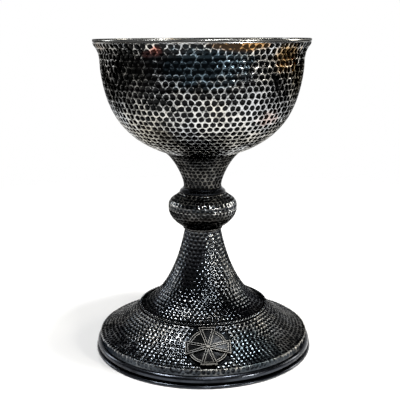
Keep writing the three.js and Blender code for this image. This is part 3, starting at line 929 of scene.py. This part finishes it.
def stage_floor():
    """Pale round table top that fades out at its edge."""
    shell = Shell()
    angles, radii = circle(96), np.array(FLOOR_RADII)[:, None]
    x, y = radii * np.sin(angles), radii * np.cos(angles)
    shell.grid(np.stack([x, y, np.zeros_like(x)], axis=-1), 0.0)
    floor = shell.piece("table_top")
    m = Recipe("pale_table")
    away = m.vector("LENGTH", m.place, (0, 0, 0))["Value"]
    colour = m.blend(m.noise(110, detail=3), (0.86, 0.86, 0.86), (0.9, 0.9, 0.89))
    m.put(m.shader.inputs["Alpha"], m.ramp(away, *FLOOR_FADE, 1.0, 0.0))
    m.put(m.shader.inputs["Specular IOR Level"], 0.1)
    normal = m.bump(m.noise(1.4), strength=0.05, distance=0.1)
    floor.data.materials.append(m.finish(colour, 0.7, 0.0, normal))


def surroundings():
    """A white studio to look at.  Reflections show a dark room with a low pale wall at its back."""
    world = bpy.data.worlds.new("studio")
    bpy.context.scene.world = world
    world.use_nodes = True
    world.node_tree.nodes.clear()
    w = Graph(world.node_tree)
    direction = w.node("ShaderNodeTexCoord").outputs["Generated"]
    split = w.node("ShaderNodeSeparateXYZ", {0: direction}).outputs
    at_back, not_above = w.ramp(split["Y"], 0.05, 0.55, 0.2, 1.0), w.ramp(split["Z"], 0.5, 0.22)
    colour = w.blend(w.math("MULTIPLY", at_back, not_above), (0.015, 0.016, 0.019), (0.8, 0.8, 0.8))
    room = w.node("ShaderNodeBackground", {"Color": colour}).outputs[0]
    studio = w.node("ShaderNodeBackground", {"Color": (1, 1, 1, 1)}).outputs[0]
    seen = w.node("ShaderNodeLightPath").outputs["Is Camera Ray"]
    mixed = w.node("ShaderNodeMixShader", {0: seen, 1: room, 2: studio}).outputs[0]
    w.node("ShaderNodeOutputWorld", {"Surface": mixed})


def lamps():
    for name, place, size, watts, colour in LAMPS:
        data = bpy.data.lights.new(name, "AREA")
        data.shape = "RECTANGLE"
        data.size, data.size_y = size
        data.energy = watts
        data.color = colour
        lamp = bpy.data.objects.new(name, data)
        lamp.location = place
        lamp.rotation_mode = "QUATERNION"
        lamp.rotation_quaternion = (Vector(AIM) - Vector(place)).to_track_quat("-Z", "Y")
        bpy.context.scene.collection.objects.link(lamp)


def camera():
    data = bpy.data.cameras.new("camera")
    data.lens, data.sensor_width = CAMERA["lens"], CAMERA["sensor"]
    item = bpy.data.objects.new("camera", data)
    bpy.context.scene.collection.objects.link(item)
    turns = (("Z", CAMERA["left"]), ("X", 90 - CAMERA["down"]), ("Z", -CAMERA["roll"]))
    view = Matrix.Translation(CAMERA["place"])
    for axis, degrees in turns:
        view = view @ Matrix.Rotation(math.radians(degrees), 4, axis)
    item.matrix_world = view
    bpy.context.scene.camera = item


# ---------- the chalice ----------

def stand_for(piece, node, material):
    """Gives the piece its material, and puts it in the place of the CAD node."""
    piece.data.materials.append(material)
    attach(piece, "root")
    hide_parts(node)


def hammered_pieces():
    """The bowl, the stem, the knop and the foot.  Each cover lies on the stretch of outline that
    passes through the (radius, height) before it, in millimetres."""
    # From 157 mm high, and fully above 182 mm, the bowl's ridges are painted thinner and darker: painted
    # shade towards the rim.
    bowl = tarnished("bowl_silver", (0.6, 1.06), 0.85, BOWL_STAINS_AND_SHADE, rough=(0.12, 0.22), patchy=1.2,
                     painted_shade_between=(157, 182), edge_shine=(0.1, 0.9))
    # The upper stem faces down under the bowl: its hollows are the blackened patina, darker than
    # BLUE_BLACK as painted shade.
    upper_stem = tarnished("upper_stem_shaded_silver", (0.68, 1.4), 0.32, STEM_STAINS, rough=(0.12, 0.36),
                           edge_shine=(0.3, 1.0))
    knop_top = tarnished("knop_silver", (0.5, 1.3), 0.85, STEM_STAINS, rough=(0.08, 0.24),
                         edge_shine=(0.15, 1.0), hollow=BLUE_BLACK)
    # The knop's lower half faces down: its hollows are the blackened patina, darker than BLUE_BLACK as
    # painted shade.
    knop_bottom = tarnished("knop_lower_shaded_silver", (0.68, 1.7), 1.0, STEM_STAINS, rough=(0.12, 0.42),
                            edge_shine=(0.25, 1.0))
    lower_stem = tarnished("stem_silver", (0.62, 1.5), 0.42, STEM_STAINS, rough=(0.1, 0.24),
                           edge_shine=(0.15, 1.0), hollow=BLUE_BLACK)
    foot = tarnished("foot_silver", (0.53, 1.35), 0.42, FOOT_STAINS, rough=(0.1, 0.34), patchy=1.2,
                     edge_shine=(0.25, 1.0), hollow=BLUE_BLACK)

    def add(name, node, material, *covers, **options):
        stand_for(turned(name, node, covers, **options), node, material)

    bowl_cover = (60.8, 167.2), marks(11, start=22.8, **BOWL_MARKS)
    inside = [(place, smooth(1.5, planished(5))) for place in ((59.4, 167.2), (20, 133.5))]
    add("bowl_hammered", "bowl_shell", bowl, bowl_cover, *inside, wear=0.2)
    add("upper_stem_hammered", "upper_stem", upper_stem, ((16.2, 120.3), marks(12, **STEM_MARKS)))
    add("knop_upper_hammered", "knop_upper_shell", knop_top, ((20.5, 100), marks(13, **KNOP_MARKS)))
    knop_cover = (20.5, 88.1), marks(14, ripples=(0, 0.15 * MM), **KNOP_MARKS)
    add("knop_lower_hammered", "knop_lower_shell", knop_bottom, knop_cover, wear=1.1, bevel=0.3 * MM)
    add("lower_stem_hammered", "lower_stem", lower_stem, ((22.1, 48.5), marks(15, **STEM_MARKS)))
    foot_cover = (56, 16.9), marks(16, bare=near_badge, **FOOT_MARKS)
    band_cover = (69.4, 9.0), marks(17, rows=1, **BAND_MARKS)
    add("foot_hammered", "foot_shell", foot, foot_cover, band_cover, wear=0.6)
    stand_for(rope(), "rope_ring", lower_stem)


def plain_pieces():
    """The rim, the collars, and the moulding and the ring under the foot."""
    dark = smooth_metal("moulding_silver", (0.045, 0.05, 0.06), (0.012, 0.013, 0.016), rough=0.13)
    # The rim's bright line from 201.0 to 201.7 mm high is a painted highlight, with painted shade above
    # and below it.
    bright = smooth_metal("rim_painted_highlight_silver", (0.5, 0.5, 0.48), (0.008, 0.008, 0.008), rough=0.1,
                          painted_highlight_band=(201.0, 201.7), edge_shine=0.25)
    stand_for(turned("rim_of_round_wire", "rim_wire"), "rim_wire", bright)
    for node in ("upper_collar", "foot_moulding"):
        stand_for(turned(f"{node}_turned", node), node, dark)
    stand_for(turned("foot_rest_ring_turned", "foot_rest_ring"), "foot_rest_ring", dark)
    collar_cover = (13, 80.8), notched(34, 0.45 * MM)
    collar = tarnished("collar_silver", (0.5, 1.1), 0.16)
    stand_for(turned("lower_collar_notched", "lower_collar", [collar_cover]),
              "lower_collar", collar)


def badge_pieces():
    silver = tarnished("badge_silver", (0.35, 0.9), 0.22, rough=(0.22, 0.4), patchy=0.9)
    stand_for(badge_disc(), "badge_disc", silver)
    stand_for(badge_cross(), "badge_cross", silver)
    stand_for(badge_rivet(), "badge_rivet", silver)


def inner_pieces():
    """The rod with what it clamps, and the burr of the badge's rivet."""
    brass = smooth_metal("aged_brass", (0.5, 0.34, 0.14), (0.2, 0.13, 0.06), rough=0.3)
    steel = smooth_metal("dull_steel", (0.42, 0.42, 0.42), (0.16, 0.13, 0.11), rough=0.3)
    for node in ("bowl_boss", "knop_spacer_tube", "clamp_plate"):
        stand_for(turned(f"{node}_turned", node), node, brass)
    rod_cover = (3, 70), threaded
    stand_for(turned("tie_rod_threaded", "tie_rod", [rod_cover]), "tie_rod", steel)
    stand_for(turned("washer_turned", "plain_washer"), "plain_washer", steel)
    stand_for(softened("hex_nut_chamfered", "hex_nut"), "hex_nut", brass)
    burr = softened("badge_burr", "badge_rivet_burr", 0.1 * MM)
    stand_for(burr, "badge_rivet_burr", brass)


camera()
hammered_pieces()
plain_pieces()
badge_pieces()
inner_pieces()
stage_floor()
surroundings()
lamps()
bpy.context.scene.view_settings.view_transform = "Standard"
